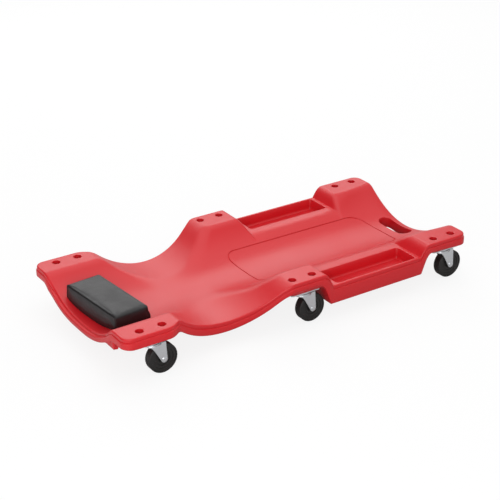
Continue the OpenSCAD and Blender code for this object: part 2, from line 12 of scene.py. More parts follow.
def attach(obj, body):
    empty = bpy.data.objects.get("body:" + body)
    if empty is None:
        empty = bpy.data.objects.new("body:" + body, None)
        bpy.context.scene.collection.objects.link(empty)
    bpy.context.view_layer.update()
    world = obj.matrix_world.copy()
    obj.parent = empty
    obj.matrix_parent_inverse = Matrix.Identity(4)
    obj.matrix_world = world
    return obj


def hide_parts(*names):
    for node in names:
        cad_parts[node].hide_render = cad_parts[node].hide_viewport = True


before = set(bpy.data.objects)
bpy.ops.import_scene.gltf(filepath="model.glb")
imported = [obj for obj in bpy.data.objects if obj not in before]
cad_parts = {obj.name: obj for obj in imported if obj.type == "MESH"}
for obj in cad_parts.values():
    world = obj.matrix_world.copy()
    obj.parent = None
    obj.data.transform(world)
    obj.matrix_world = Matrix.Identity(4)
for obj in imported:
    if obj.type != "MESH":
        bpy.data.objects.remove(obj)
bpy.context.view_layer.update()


# Board: one blow-moulded shell of red polyethylene, a dished surface with raised pads over the
# casters, a waist for the upper arms and a thicker hollow part round the two tool trays.
# It is shaped here in millimetres and turned into metres when it is done.
HALF_L = 510
HALF_W = 236
CORNER_R = 26
PAD_Z = 121
MIDDLE_PAD_Z = 129
TRAY_Z = 92.5
HEAD_PAD_END = -357
MIDDLE_PAD_START = -67
CASTER_X = {"head": -428, "middle": -7, "foot": 441}
CASTER_Y = 209
CASTER_Z = 91
MIDDLE_LIFT = 5


def held(value):
    """The value, kept between zero and one."""
    return min(max(value, 0.0), 1.0)


def eased(value):
    """From zero to one with a soft start and a soft end."""
    share = held(value)
    return share * share * (3 - 2 * share)


def curled(value, power=2):
    """From zero to one with a steep start and a soft end."""
    return 1 - (1 - held(value)) ** power


def mixed(a, b, share):
    return a + (b - a) * share


def melted(a, b, width=10):
    """The lower of two surfaces, with the crease between them rounded."""
    share = held(0.5 + (b - a) / (2 * width))
    return mixed(b, a, share) - width * share * (1 - share)


def between(x, start, rise, end, fall):
    """One from start + rise to end, and eased down to zero on either side of that."""
    return eased((x - start) / rise) * (1 - eased((x - end) / fall))


def past_head_pads(x):
    return eased((x - HEAD_PAD_END) / (MIDDLE_PAD_START - HEAD_PAD_END))


# the side edges: a round dip at the waist, and a ramp from each pad down to the trays
WAIST_X = -212
WAIST_LOW = 64
WAIST_R = 205.4
WAIST_END = 40
WAIST_MELT = 24
MIDDLE_RAMP_END = 74
MIDDLE_RAMP_L = 30
MIDDLE_RAMP_SOFT = 8
FOOT_RAMP_X = 352
FOOT_RAMP_LEAD = 2.5
FOOT_RAMP_L = 31
FOOT_RAMP_SOFT = 5


def ramp_z(run, length, pad_z, soft):
    """Height of a ramp at a run from its foot, which is rounded into the trays' level."""
    climb = mixed(TRAY_Z - soft, pad_z, curled(run / length))
    return -melted(-climb, -TRAY_Z, soft)


def side_edge_z(x):
    away = min(abs(x - WAIST_X), WAIST_R)
    waist = WAIST_LOW + WAIST_R - math.sqrt(WAIST_R**2 - away**2)
    if x < WAIST_X:
        return melted(PAD_Z, waist)
    if x < WAIST_END:
        return melted(MIDDLE_PAD_Z, waist, WAIST_MELT)
    if x < FOOT_RAMP_X:
        return ramp_z(MIDDLE_RAMP_END - x, MIDDLE_RAMP_L, MIDDLE_PAD_Z, MIDDLE_RAMP_SOFT)
    return ramp_z(x - FOOT_RAMP_X + FOOT_RAMP_LEAD, FOOT_RAMP_L, PAD_Z, FOOT_RAMP_SOFT)


# the trough between them: its low line, its half width and the power that its sides rise by
LOW_AT_HEAD = 63.5
LOW_AT_FOOT = 60
TROUGH_HALF_W = 166
TROUGH_HALF_AT_TRAYS = 151
HEAD_POWER = 2.8
TRAY_POWER = 2.6
FOOT_POWER = 2
GRIP_X = 478.5
GRIP_DROP = 5
# and where it meets the side edges more softly: (mm more, start, rise, end, fall)
SOFT_PLACES = [(14, -150, 60, -62, 30), (5, 30, 26, 72, 70), (10, 280, 70, 376, 40)]
TROUGH_MELT = 10


def trough_z(x, y):
    past_trays = eased((x - FOOT_RAMP_X) / (HALF_L - FOOT_RAMP_X))
    drop = GRIP_DROP * eased((x - GRIP_X) / (HALF_L - GRIP_X))
    low = mixed(LOW_AT_HEAD, LOW_AT_FOOT, (x + HALF_L) / (2 * HALF_L)) - drop
    at_head = (abs(y) / TROUGH_HALF_W) ** HEAD_POWER
    half_w = mixed(TROUGH_HALF_AT_TRAYS, TROUGH_HALF_W, past_trays)
    at_foot = (abs(y) / half_w) ** mixed(TRAY_POWER, FOOT_POWER, past_trays)
    return low + (PAD_Z - low) * mixed(at_head, at_foot, past_head_pads(x))


def surface_z(x, y):
    soft = sum(more * between(x, *where) for more, *where in SOFT_PLACES)
    return melted(trough_z(x, y), side_edge_z(x), TROUGH_MELT + soft)


# the sides in plan, which draw in at the waist along an arc
NARROW_X = -229
NARROW_Y = 198
NARROW_R = 420
HEAD_FLARE_X = -351
HEAD_FLARE_L = 45
MIDDLE_FLARE_L = 34


def side_y(x):
    away = min(abs(x - NARROW_X), NARROW_R)
    waist = min(NARROW_Y + NARROW_R - math.sqrt(NARROW_R**2 - away**2), HALF_W)
    at_head = eased((HEAD_FLARE_X - x) / HEAD_FLARE_L)
    past_middle = eased((x - MIDDLE_PAD_START) / MIDDLE_FLARE_L)
    return mixed(waist, HALF_W, held(at_head + past_middle))


def in_grip(y):
    """One at the middle line, down to zero at the trough's sides."""
    return held(1 - (y / TROUGH_HALF_W) ** 2)


# how thick the shell is from skin to skin: more round the slot, less in the head end's trough
THICK = 30
THICK_MIDDLE = 24
THICK_FOOT_TROUGH = 21
THICK_HEAD_TROUGH = 20
THICK_HEAD_PADS = 28
HEAD_EDGE_L = 36
PADS_Y = 125
PADS_RISE = 50
TRAYS_END = 382
SLOT_EXTRA = 7
SLOT_STRETCH = (425, 30, 484, 16)


def thickness(x, y):
    past_trays = eased((x - TRAYS_END) / (HALF_L - TRAYS_END))
    before = mixed(THICK, THICK_MIDDLE, past_head_pads(x))
    foot_end = mixed(THICK, THICK_FOOT_TROUGH, in_grip(y))
    head_end = mixed(THICK_HEAD_TROUGH, THICK_HEAD_PADS, eased((abs(y) - PADS_Y) / PADS_RISE))
    inside = mixed(before, foot_end, past_trays)
    by_slot = SLOT_EXTRA * in_grip(y) * between(x, *SLOT_STRETCH)
    return mixed(head_end, inside, eased((x + HALF_L) / HEAD_EDGE_L)) + by_slot


# beneath it: flat seats for the casters, the hollow part under the trays, and a small lug under
# the near corner of the head end
SEAT_HALF_X = 42.3
SEAT_HALF_Y = 20.3
SEAT_LEAN = 5
HOLLOW_Z = 43.5
HOLLOW_START = 66
HOLLOW_START_L = 39
HOLLOW_END = 354.5
HOLLOW_END_L = 52
HOLLOW_Y = 140.7
HOLLOW_RISE = 12
STEEP_EXTRA = 0.7
LUG_AT = (-496, -148)
LUG_HALF = (9, 24)
LUG_LEAN = (2, 3.4)
LUG_Z = 66
ABOVE_ALL = 130


def over_caster(x, y):
    """One within a seat whose middle is at x = 0, down to zero past its leaning walls."""
    inside = min(SEAT_HALF_X - abs(x), SEAT_HALF_Y - abs(abs(y) - CASTER_Y))
    return held(1 + inside / SEAT_LEAN)


def underside_z(x, y):
    slope = (surface_z(x, abs(y) + 1) - surface_z(x, abs(y) - 1)) / 2
    steep = 1 + STEEP_EXTRA * (math.sqrt(1 + slope * slope) - 1)
    along = 1 - curled((HOLLOW_START - x) / HOLLOW_START_L)
    along *= 1 - curled((x - HOLLOW_END) / HOLLOW_END_L, 4)
    under_tray = along * eased((abs(y) - HOLLOW_Y) / HOLLOW_RISE)
    z = mixed(surface_z(x, y) - thickness(x, y) * steep, HOLLOW_Z, under_tray)
    z = mixed(z, CASTER_Z + MIDDLE_LIFT, over_caster(x - CASTER_X["middle"], y))
    ends = max(over_caster(x - CASTER_X["head"], y), over_caster(x - CASTER_X["foot"], y))
    lug = 1
    for where, middle, half, lean in zip((x, y), LUG_AT, LUG_HALF, LUG_LEAN):
        lug *= held((half - abs(where - middle)) / lean)
    return min(mixed(z, CASTER_Z, ends), mixed(ABOVE_ALL, LUG_Z, lug))


def stepped(start, stretches):
    """Places from start on, evenly spaced by about step up to the end of each stretch."""
    places = []
    for end, step in stretches:
        count = max(1, round((end - start) / step))
        places += [start + (end - start) * k / count for k in range(count)]
        start = end
    return places


# The skins' lines along the board: (place, angle round the corner or None), closer together
# where the surface bends more
ROLL_R = 3.5
UNDER_R = 4
GRIP_ROLL_R = 10.5
LEDGE = 2.2
STRAIGHT_X = HALF_L - CORNER_R
FLAT_Y = HALF_W - ROLL_R
corner_turns = [math.radians(90 - 6 * k) for k in range(15)]
straight = stepped(-STRAIGHT_X, [
    (HEAD_PAD_END - 40, 7), (-330, 3), (MIDDLE_PAD_START - 20, 6), (30, 4), (100, 2), (335, 9),
    (385, 2), (STRAIGHT_X, 6),
])
lines_x = [(-STRAIGHT_X, turn) for turn in corner_turns]
lines_x += [(x, None) for x in straight[1:]]
lines_x += [(STRAIGHT_X, turn) for turn in reversed(corner_turns)]
# and across it, as shares of the half width less the rolled edge, then down the roll itself
across = stepped(0, [(96, 6), (200, 3.4), (FLAT_Y, 4)])
lines_y = [(y / FLAT_Y, None) for y in across]
lines_y += [(1, share) for share in (1, 0.8, 0.6, 0.4, 0.22, 0.1, 0.03, 0)]


def head_ledge(y):
    """Width of the ledge at the head end: broad across the trough, narrow at the pads."""
    return mixed(8, 2.4, eased((abs(y) - PADS_Y) / 55))


def facing_head(line_x):
    """One for a line at the very head end, and less for the others round its corners."""
    place, turn = line_x
    return 0 if turn is None or place > 0 else eased(math.sin(turn))


def spot(line_x, line_y, side, top):
    """Where two lines cross, on the bottom's outline or on the top's, which is drawn in."""
    place, turn = line_x
    share, roll_share = line_y
    roll = ROLL_R if top else UNDER_R
    inset = mixed(LEDGE, head_ledge(share * FLAT_Y), facing_head(line_x)) if top else 0
    if turn is None:
        x = place
        edge = side_y(x) - inset
    else:
        x = math.copysign(abs(place) + (CORNER_R - inset) * math.sin(turn), place)
        edge = side_y(x) - CORNER_R + (CORNER_R - inset) * math.cos(turn)
    y = share * (edge - roll) + (0 if roll_share is None else roll * (1 - roll_share))
    return x, side * y


def rolled(x, y, edge_in, roll):
    """Drop of a rolled edge at a spot, from how far the spot is inside the outline."""
    end = HALF_L - edge_in
    past_x = abs(x) - STRAIGHT_X
    past_y = abs(y) - (side_y(x) - CORNER_R)
    if past_x > 0 and past_y > 0:
        inside = CORNER_R - edge_in - math.hypot(past_x, past_y)
    else:
        inside = min(end - abs(x), side_y(x) - edge_in - abs(y))
    deep = roll - min(max(inside, 0), roll)
    grip = mixed(ROLL_R, GRIP_ROLL_R, in_grip(y)) if edge_in > 0 else 0.001
    bend = held((x - end) / grip + 1)
    return max(roll - math.sqrt(roll * roll - deep * deep), grip * (1 - math.sqrt(1 - bend * bend)))


def skin(mesh, top):
    """A grid of points laid over the board's outline, bent to its top or its bottom surface."""
    nx, ny = len(lines_x), 2 * len(lines_y) - 1
    crossings = {}
    for vert in bmesh.ops.create_grid(mesh, x_segments=nx - 1, y_segments=ny - 1, size=1)["verts"]:
        i = round((vert.co.x + 1) / 2 * (nx - 1))
        j = round((vert.co.y + 1) / 2 * (ny - 1))
        side = j - (len(lines_y) - 1)
        x, y = spot(lines_x[i], lines_y[abs(side)], math.copysign(1, side), top)
        if top:
            ledge = mixed(LEDGE, head_ledge(y), facing_head(lines_x[i]))
            vert.co = (x, y, surface_z(x, y) - rolled(x, y, ledge, ROLL_R))
        else:
            vert.co = (x, y, underside_z(x, y) + rolled(x, y, 0, UNDER_R))
        crossings[i, j] = vert
    rim = [(i, 0) for i in range(nx)] + [(nx - 1, j) for j in range(1, ny)]
    rim += [(i, ny - 1) for i in range(nx - 2, -1, -1)] + [(0, j) for j in range(ny - 2, 0, -1)]
    return [crossings[at] for at in rim]


def edges_round(mesh, ring):
    """The edges of a closed ring of points."""
    return [mesh.edges.get((a, b)) for a, b in zip(ring, ring[1:] + ring[:1])]


def next_ring(mesh, ring):
    """Extrudes a closed ring of points in place and gives the new ring, in the same order."""
    new = bmesh.ops.extrude_edge_only(mesh, edges=edges_round(mesh, ring))["geom"]
    fresh = {item for item in new if isinstance(item, bmesh.types.BMVert)}
    return [next(e.other_vert(v) for e in v.link_edges if e.other_vert(v) in fresh) for v in ring]


board_mesh = bmesh.new()
top_rim = skin(board_mesh, True)
under_rim = skin(board_mesh, False)

# The wall between them has a ledge at the parting line, where the mould's two halves met.
# Its lines are (share of the way in from the bottom's outline to the top's, drop in mm).
SIDE_PROFILE = [(1, 3), (1, 5.6), (1.25, 6.4), (0.9, 7), (0.2, 7.5), (0, 8.8)]
HEAD_PROFILE = [(1, 0.8), (1, 1.5), (1.03, 2.1), (0.96, 2.5), (0.22, 3.5), (0, 5.5)]
starts = [vert.co.copy() for vert in top_rim]
ring = top_rim
for (side_share, side_drop), (head_share, head_drop) in zip(SIDE_PROFILE, HEAD_PROFILE):
    ring = next_ring(board_mesh, ring)
    for vert, start, foot in zip(ring, starts, under_rim):
        at_head = held((math.hypot(start.x - foot.co.x, start.y - foot.co.y) - LEDGE - 0.2) / 5)
        share = mixed(side_share, head_share, at_head)
        vert.co.x = mixed(foot.co.x, start.x, share)
        vert.co.y = mixed(foot.co.y, start.y, share)
        squeeze = held((start.z - foot.co.z - 1) / 11)
        vert.co.z = start.z - mixed(side_drop, head_drop, at_head) * squeeze
bmesh.ops.bridge_loops(
    board_mesh, edges=edges_round(board_mesh, ring) + edges_round(board_mesh, under_rim)
)
bmesh.ops.remove_doubles(board_mesh, verts=board_mesh.verts, dist=0.0001)
bmesh.ops.recalc_face_normals(board_mesh, faces=board_mesh.faces)


def plug(mesh, middle, radius, half, levels, count=64):
    """A closed plug with a round or rounded outline, drawn in or out from level to level."""
    half_turn = Matrix.Rotation(math.pi / count, 4, "Z")
    ring = bmesh.ops.create_circle(
        mesh, cap_ends=True, segments=count, radius=radius, matrix=half_turn
    )["verts"]
    ways = [vert.co.normalized() for vert in ring]
    for number, (drawn_in, height) in enumerate(levels):
        if number > 0:
            ring = next_ring(mesh, ring)
        for vert, way in zip(ring, ways):
            vert.co.x = middle[0] + math.copysign(half[0], way.x) + way.x * (radius - drawn_in)
            vert.co.y = middle[1] + math.copysign(half[1], way.y) + way.y * (radius - drawn_in)
            vert.co.z = height(vert.co.x, vert.co.y) if callable(height) else height
    bmesh.ops.contextual_create(mesh, geom=ring)


# a cut's rolled edge starts this little above the surface, so that the cut comes out clean
CLEAR = 0.03


def rounded_edge(radius, top, steps=6):
    """Levels of an edge that rolls from a flat top down into a hole."""
    turns = [math.radians(8 + 82 * k / steps) for k in range(steps + 1)]
    return [(-radius * (1 - math.sin(t)), top - radius * (1 - math.cos(t)) + CLEAR) for t in turns]


# two tool trays, with a rolled rim, a leaning wall and a filleted floor
TRAY_AT = (214, 189.5)
TRAY_HALF = (118, 29)
TRAY_CORNER_R = 7.5
TRAY_RIM_R = 2.2
TRAY_FLOOR_Z = 64
TRAY_FILLET = (5, 9)
hole_mesh = bmesh.new()
levels = [(-TRAY_RIM_R, TRAY_Z + 60)] + rounded_edge(TRAY_RIM_R, TRAY_Z) + [(0.4, TRAY_Z - 3)]
for turn in range(8, 91, 9):
    out, down = math.cos(math.radians(turn)), math.sin(math.radians(turn))
    fillet_z = TRAY_FLOOR_Z + TRAY_FILLET[1] * (1 - down)
    levels.append((2 + TRAY_FILLET[0] * (1 - out), fillet_z))
for side in (-1, 1):
    plug(hole_mesh, (TRAY_AT[0], TRAY_AT[1] * side), TRAY_CORNER_R, TRAY_HALF, levels)

# a recess for the nut and a hole for the bolt, twelve times
BOLT_X = 29.25
RECESS_R = 10.2
RECESS_EDGE_R = 0.6
RECESS_FLOOR = 12
BOLT_IN = 6.9
for name, x in CASTER_X.items():
    pad = MIDDLE_PAD_Z if name == "middle" else PAD_Z
    seat = CASTER_Z + RECESS_FLOOR + (MIDDLE_LIFT if name == "middle" else 0)
    recess = [(-RECESS_EDGE_R, pad + 9)] + rounded_edge(RECESS_EDGE_R, pad, 4)
    recess += [(0.4, seat + 1.2), (1.6, seat), (BOLT_IN, seat), (BOLT_IN, CASTER_Z - 9)]
    for side in (-1, 1):
        for end in (-1, 1):
            plug(hole_mesh, (x + BOLT_X * end, CASTER_Y * side), RECESS_R, (0, 0), recess, 40)

# the hand slot that the board is carried by, its edges rolled along the dished surface
SLOT_X = 462
SLOT_R = 20
SLOT_HALF_Y = 38
SLOT_LIP_R = 1.5
SLOT_UNDER_R = 2
SLOT_WALL_IN = 0.6
LIP_TURNS = (6, 25, 45, 65, 88)


def slot_lip(turn, radius, wall_in, skin_z, way):
    """A level of the slot's rolled edge, under the top surface or, with way -1, over the bottom."""
    drop = radius * (1 - math.cos(math.radians(turn))) - CLEAR
    drawn_in = wall_in - radius * (1 - math.sin(math.radians(turn)))
    return drawn_in, lambda x, y: skin_z(x, y) - way * drop


slot = [(-SLOT_LIP_R, lambda x, y: surface_z(x, y) + 12)]
slot += [slot_lip(turn, SLOT_LIP_R, 0, surface_z, 1) for turn in LIP_TURNS]
slot.append((SLOT_WALL_IN, lambda x, y: surface_z(x, y) - 14))
slot += [slot_lip(t, SLOT_UNDER_R, SLOT_WALL_IN, underside_z, -1) for t in reversed(LIP_TURNS)]
slot.append((SLOT_WALL_IN - SLOT_UNDER_R, lambda x, y: underside_z(x, y) - 9))
plug(hole_mesh, (SLOT_X, 0), SLOT_R, (0, SLOT_HALF_Y), slot, 72)

# recesses under the headrest for its two screws
REST_X = -422
REST_TURN = math.radians(5)
SCREW_OUT = 60
SCREW_HEAD_R = 6
SCREW_IN = 3.25
screw_seat = surface_z(REST_X, SCREW_OUT) - 25
levels = [(0, 10), (0, screw_seat), (SCREW_IN, screw_seat), (SCREW_IN, 110)]
for end in (-SCREW_OUT, SCREW_OUT):
    screw_at = (REST_X - end * math.sin(REST_TURN), end * math.cos(REST_TURN))
    plug(hole_mesh, screw_at, SCREW_HEAD_R, (0, 0), levels, 32)

# and the creased line round the lying panel: a thin rope laid along it, cut out of the surface
PANEL_CORNERS = [(364, 62), (-8, 62), (-8, -62), (364, -62)]
PANEL_CORNER_R = 31
PANEL_HALF_W = 93
FOOT_BOW = 18
HEAD_BOW = 6
CREASE_R = 1.9
CREASE_SINK = 0.5
crease = bpy.data.curves.new("crease", "CURVE")
crease.dimensions = "3D"
crease.bevel_depth = CREASE_R
crease.bevel_resolution = 2
path = []
for number, (x, y) in enumerate(PANEL_CORNERS):
    for k in range(13):
        turn = math.radians(90 * number + 7.5 * k)
        path.append((x + PANEL_CORNER_R * math.cos(turn), y + PANEL_CORNER_R * math.sin(turn)))
    next_x, next_y = PANEL_CORNERS[(number + 1) % 4]
    count = 62 if number in (0, 2) else 22
    start_x, start_y = path[-1]
    for k in range(1, count):
        path.append((start_x + (next_x - x) * k / count, start_y + (next_y - y) * k / count))
rope = crease.splines.new("POLY")
rope.points.add(len(path) - 1)
rope.use_cyclic_u = True
for point, (x, y) in zip(rope.points, path):
    # its two ends bow towards the board's foot end
    bow = 1 - (y / PANEL_HALF_W) ** 2
    x += FOOT_BOW * bow * eased((x - 330) / 60) + HEAD_BOW * bow * eased((20 - x) / 50)
    point.co = (x, y, surface_z(x, y) - CREASE_SINK, 1)
crease_object = bpy.data.objects.new("crease", crease)
bpy.context.collection.objects.link(crease_object)
crease_tube = bpy.data.meshes.new_from_object(crease_object.evaluated_get(
    bpy.context.evaluated_depsgraph_get()
))
hole_mesh.from_mesh(crease_tube)
bpy.data.objects.remove(crease_object)
bmesh.ops.recalc_face_normals(hole_mesh, faces=hole_mesh.faces)


def smoothed(piece, sharp):
    """Shades a piece smooth, apart from its edges that are sharper than so many degrees."""
    piece.data.shade_smooth()
    piece.data.set_sharp_from_angle(angle=math.radians(sharp))


def placed(mesh, name, sharp=38):
    """Turns a shape in millimetres into a piece in metres."""
    bmesh.ops.scale(mesh, vec=(0.001, 0.001, 0.001), verts=mesh.verts)
    piece = bpy.data.objects.new(name, bpy.data.meshes.new(name))
    mesh.to_mesh(piece.data)
    mesh.free()
    smoothed(piece, sharp)
    bpy.context.collection.objects.link(piece)
    return piece


def with_modifiers(piece):
    """Applies a piece's modifiers, so that its mesh holds the finished shape."""
    finished = piece.evaluated_get(bpy.context.evaluated_depsgraph_get())
    data = bpy.data.meshes.new_from_object(finished)
    piece.modifiers.clear()
    piece.data = data


board = placed(board_mesh, "board_shell")
holes = placed(hole_mesh, "holes")
cut = board.modifiers.new("holes", "BOOLEAN")
cut.object = holes
cut.solver = "EXACT"
with_modifiers(board)
bpy.data.objects.remove(holes)
smoothed(board, 38)


def feed(tree, socket, term):
    """Gives a socket a value: a link from another socket, or a plain number or colour."""
    if isinstance(term, bpy.types.NodeSocket):
        tree.links.new(term, socket)
    else:
        socket.default_value = term


def arithmetic(tree, operation, *terms):
    """The outcome of a math node of a material, a node group or the world."""
    node = tree.nodes.new("ShaderNodeMath")
    node.operation = operation
    for socket, term in zip(node.inputs, terms):
        feed(tree, socket, term)
    return node.outputs["Value"]


def colour_mix(tree, factor, first, second):
    """A colour between two others, from a colour mix node."""
    node = tree.nodes.new("ShaderNodeMix")
    node.data_type = "RGBA"
    # its colour sockets share their names with others, so they are found by number
    for number, term in ((0, factor), (6, first), (7, second)):
        feed(tree, node.inputs[number], term)
    return node.outputs[2]


def finish(name, colour, roughness, metallic=0.0):
    """A new material of the given colour, and its shader."""
    material = bpy.data.materials.new(name)
    material.use_nodes = True
    shader = material.node_tree.nodes["Principled BSDF"]
    shader.inputs["Base Color"].default_value = (*colour, 1)
    shader.inputs["Roughness"].default_value = roughness
    shader.inputs["Metallic"].default_value = metallic
    return material, shader


def mottle_group():
    """Moulded or plated skin: colour and gloss that drift a little, a fine grain and slow waves."""
    group = bpy.data.node_groups.new("mottle", "ShaderNodeTree")
    numbers = ("Patches", "Roughness", "Roughness Drift", "Grain", "Grain Height", "Waves",
               "Wave Height")
    for name in ("Colour", "Other Colour"):
        group.interface.new_socket(name, in_out="INPUT", socket_type="NodeSocketColor")
    for name in numbers:
        group.interface.new_socket(name, in_out="INPUT", socket_type="NodeSocketFloat")
    group.interface.new_socket("Colour", in_out="OUTPUT", socket_type="NodeSocketColor")
    for name in ("Roughness", "Height"):
        group.interface.new_socket(name, in_out="OUTPUT", socket_type="NodeSocketFloat")
    given = group.nodes.new("NodeGroupInput").outputs
    result = group.nodes.new("NodeGroupOutput").inputs
    place = group.nodes.new("ShaderNodeTexCoord")
    noise = {}
    for name, detail in (("Patches", 4), ("Grain", 3), ("Waves", 1)):
        texture = group.nodes.new("ShaderNodeTexNoise")
        texture.inputs["Detail"].default_value = detail
        feed(group, texture.inputs["Vector"], place.outputs["Object"])
        feed(group, texture.inputs["Scale"], given[name])
        noise[name] = texture.outputs["Fac"]
    shade = colour_mix(group, noise["Patches"], given["Colour"], given["Other Colour"])
    drift = arithmetic(group, "SUBTRACT", noise["Patches"], 0.5)
    gloss = arithmetic(group, "MULTIPLY_ADD", drift, given["Roughness Drift"], given["Roughness"])
    slow = arithmetic(group, "MULTIPLY", noise["Waves"], given["Wave Height"])
    height = arithmetic(group, "MULTIPLY_ADD", noise["Grain"], given["Grain Height"], slow)
    for name, outcome in (("Colour", shade), ("Roughness", gloss), ("Height", height)):
        feed(group, result[name], outcome)
    return group


mottle = mottle_group()


def mottled(name, colour, other, roughness, metallic=0.0, **values):
    """A new material under the mottle; its grain and waves are this high in millimetres."""
    material, shader = finish(name, colour, roughness, metallic)
    tree = material.node_tree
    look = tree.nodes.new("ShaderNodeGroup")
    look.node_tree = mottle
    look.inputs["Colour"].default_value = (*colour, 1)
    look.inputs["Other Colour"].default_value = (*other, 1)
    look.inputs["Roughness"].default_value = roughness
    for given, value in values.items():
        look.inputs[given.replace("_", " ").title()].default_value = value
    raised = tree.nodes.new("ShaderNodeBump")
    raised.inputs["Distance"].default_value = 0.001
    feed(tree, raised.inputs["Height"], look.outputs["Height"])
    feed(tree, shader.inputs["Base Color"], look.outputs["Colour"])
    feed(tree, shader.inputs["Roughness"], look.outputs["Roughness"])
    feed(tree, shader.inputs["Normal"], raised.outputs["Normal"])
    return material


def wear(pieces, material):
    """Gives pieces their finish, in place of the one that they have."""
    for piece in pieces:
        piece.data.materials.clear()
        piece.data.materials.append(material)


red = mottled(
    "red_polyethylene", (0.62, 0.006, 0.012), (0.65, 0.010, 0.017), 0.38, patches=6,
    roughness_drift=0.16, grain=850, grain_height=0.04, waves=14, wave_height=0.6,
)
wear([board], red)
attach(board, "bed")
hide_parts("board")


# Headrest: a foam pad on bent plywood, under black vinyl that wraps over its top and both ends,
# with a panel sewn in along each long side, and stapled beneath. Two screws from under the board
# hold it across the trough at the head end, so its underside follows the trough.
PAD_X = -428.5
PAD_Y = -1
PAD_TOP = 116.5
PAD_CROWN = 1.5
PAD_HALF_X = 47.5
PAD_HALF_Y = 109
PAD_H = 45
# its top is level this far down, and what lies below follows the trough
PAD_LEVEL = 12
# radii of its edges, tight along the head side's seam and softer at the foot side and the ends
SEAM_R = 2.5
FOOT_TOP_R = 6
SOFT_R = 7
LOW_END_R = 5
NEAR_END_R = 9
FAR_END_R = 13
# the pocket beneath it that the plywood lies in, and how far the foot side reaches over that
POCKET_X = 3.25
POCKET_HALF_X = 41.75
POCKET_EDGE_Y = 5
POCKET_DEPTH = 6.5
OVER_PLY = 5.5
GAP_BELOW = 0.6
# its seams lie this far in from the edges, and the mesh is cut closely round them
SEAM_IN = 2.6
SEAM_W = 1.1
SEAM_DEPTH = 2.2
SEAM_GAPS = [0.4, 1, 1.7, 2.4, 2.9, 3.5, 4.2, 5.4, 7.5]


def pad_lines(half):
    """Places along one side of the pad: close together at its edges and seams, evenly between."""
    *close, last = SEAM_GAPS
    even = stepped(last - half, [(half - last, 5)])
    return [gap - half for gap in close] + even + [half - gap for gap in reversed(SEAM_GAPS)]


foam = bmesh.new()
bmesh.ops.create_cube(foam, size=2)
bmesh.ops.scale(foam, vec=(PAD_HALF_X, PAD_HALF_Y, PAD_H / 2), verts=foam.verts)
bmesh.ops.translate(foam, vec=(0, 0, PAD_H / 2), verts=foam.verts)
pocket_edges = [POCKET_X - POCKET_HALF_X, POCKET_X + POCKET_HALF_X]
by_top_seam = [PAD_H - gap for gap in reversed(SEAM_GAPS[:-1])]
cut_lines = [
    (Vector((1, 0, 0)), pad_lines(PAD_HALF_X) + pocket_edges),
    (Vector((0, 1, 0)), pad_lines(PAD_HALF_Y)),
    (Vector((0, 0, 1)), [3, 6] + stepped(10, [(37, 4.5)]) + by_top_seam),
]
for normal, places in cut_lines:
    for where in places:
        bmesh.ops.bisect_plane(
            foam, geom=foam.verts[:] + foam.edges[:] + foam.faces[:], dist=0.001,
            plane_co=normal * where, plane_no=normal,
        )
foam.verts.ensure_lookup_table()
pad_flat = [vert.co.copy() for vert in foam.verts]


def rounded_block(flat):
    """A point of the pad's block, with the edges rounded: least along the head side's seam."""
    to_end = eased((abs(flat.y) - PAD_HALF_Y + 20) / 14)
    top_r = mixed(SEAM_R, FOOT_TOP_R, eased((flat.x + 20) / 40))
    end_r = NEAR_END_R if flat.y < 0 else FAR_END_R
    radii = (
        SEAM_R if flat.x < 0 else SOFT_R,
        mixed(LOW_END_R, end_r, eased((flat.z - 14) / 16)),
        mixed(top_r, SOFT_R, to_end),
    )
    reach = [PAD_HALF_X - radii[0], PAD_HALF_Y - radii[1], PAD_H - radii[2]]
    inner = [max(min(value, limit), -limit) for value, limit in zip(flat, reach)]
    out = Vector([(value - core) / radius for value, core, radius in zip(flat, inner, radii)])
    if out.length == 0:
        return flat
    out *= max(abs(out.x), abs(out.y), abs(out.z)) / out.length
    return Vector([core + share * radius for core, share, radius in zip(inner, out, radii)])


def pad_point(flat):
    """A point of the pad's block, its edges rounded, turned and set down on the trough."""
    flat = rounded_block(flat)
    across = flat.x + OVER_PLY * held(flat.x / PAD_HALF_X) * (1 - eased((flat.z - 8) / 26))
    x = PAD_X + across * math.cos(REST_TURN) - flat.y * math.sin(REST_TURN)
    y = PAD_Y + across * math.sin(REST_TURN) + flat.y * math.cos(REST_TURN)
    in_pocket = held((POCKET_HALF_X - abs(flat.x - POCKET_X)) / 2)
    in_pocket *= held((PAD_HALF_Y - POCKET_EDGE_Y - abs(flat.y)) / 2)
    low = surface_z(x, y) + GAP_BELOW + POCKET_DEPTH * in_pocket
    crown = PAD_CROWN * (1 - (flat.x / PAD_HALF_X) ** 2) * (1 - (flat.y / PAD_HALF_Y) ** 2)
    high = PAD_TOP - 2 + crown * flat.z / PAD_H
    if flat.z > PAD_H - PAD_LEVEL:
        return Vector((x, y, high - (PAD_H - flat.z)))
    return Vector((x, y, mixed(low, high - PAD_LEVEL, flat.z / (PAD_H - PAD_LEVEL))))


for vert, flat in zip(foam.verts, pad_flat):
    vert.co = pad_point(flat)
bmesh.ops.recalc_face_normals(foam, faces=foam.faces)
pad = placed(foam, "headrest_cover", 180)


def stuffed(piece, pressure, cap, fixed):
    """Swells a closed cover over its foam, but holds its fixed points and caps every move."""
    before = [vert.co.copy() for vert in piece.data.vertices]
    piece.vertex_groups.new(name="stapled").add(fixed, 1, "REPLACE")
    cover = piece.modifiers.new("cover", "CLOTH")
    cover.settings.use_pressure = True
    cover.settings.uniform_pressure_force = pressure
    cover.settings.effector_weights.gravity = 0
    cover.settings.vertex_group_mass = "stapled"
    scene = bpy.context.scene
    for number in range(1, 21):
        scene.frame_set(number)
    with_modifiers(piece)
    for vert, old in zip(piece.data.vertices, before):
        move = vert.co - old
        if move.length > cap:
            vert.co = old + move * (cap / move.length)
    scene.frame_set(1)


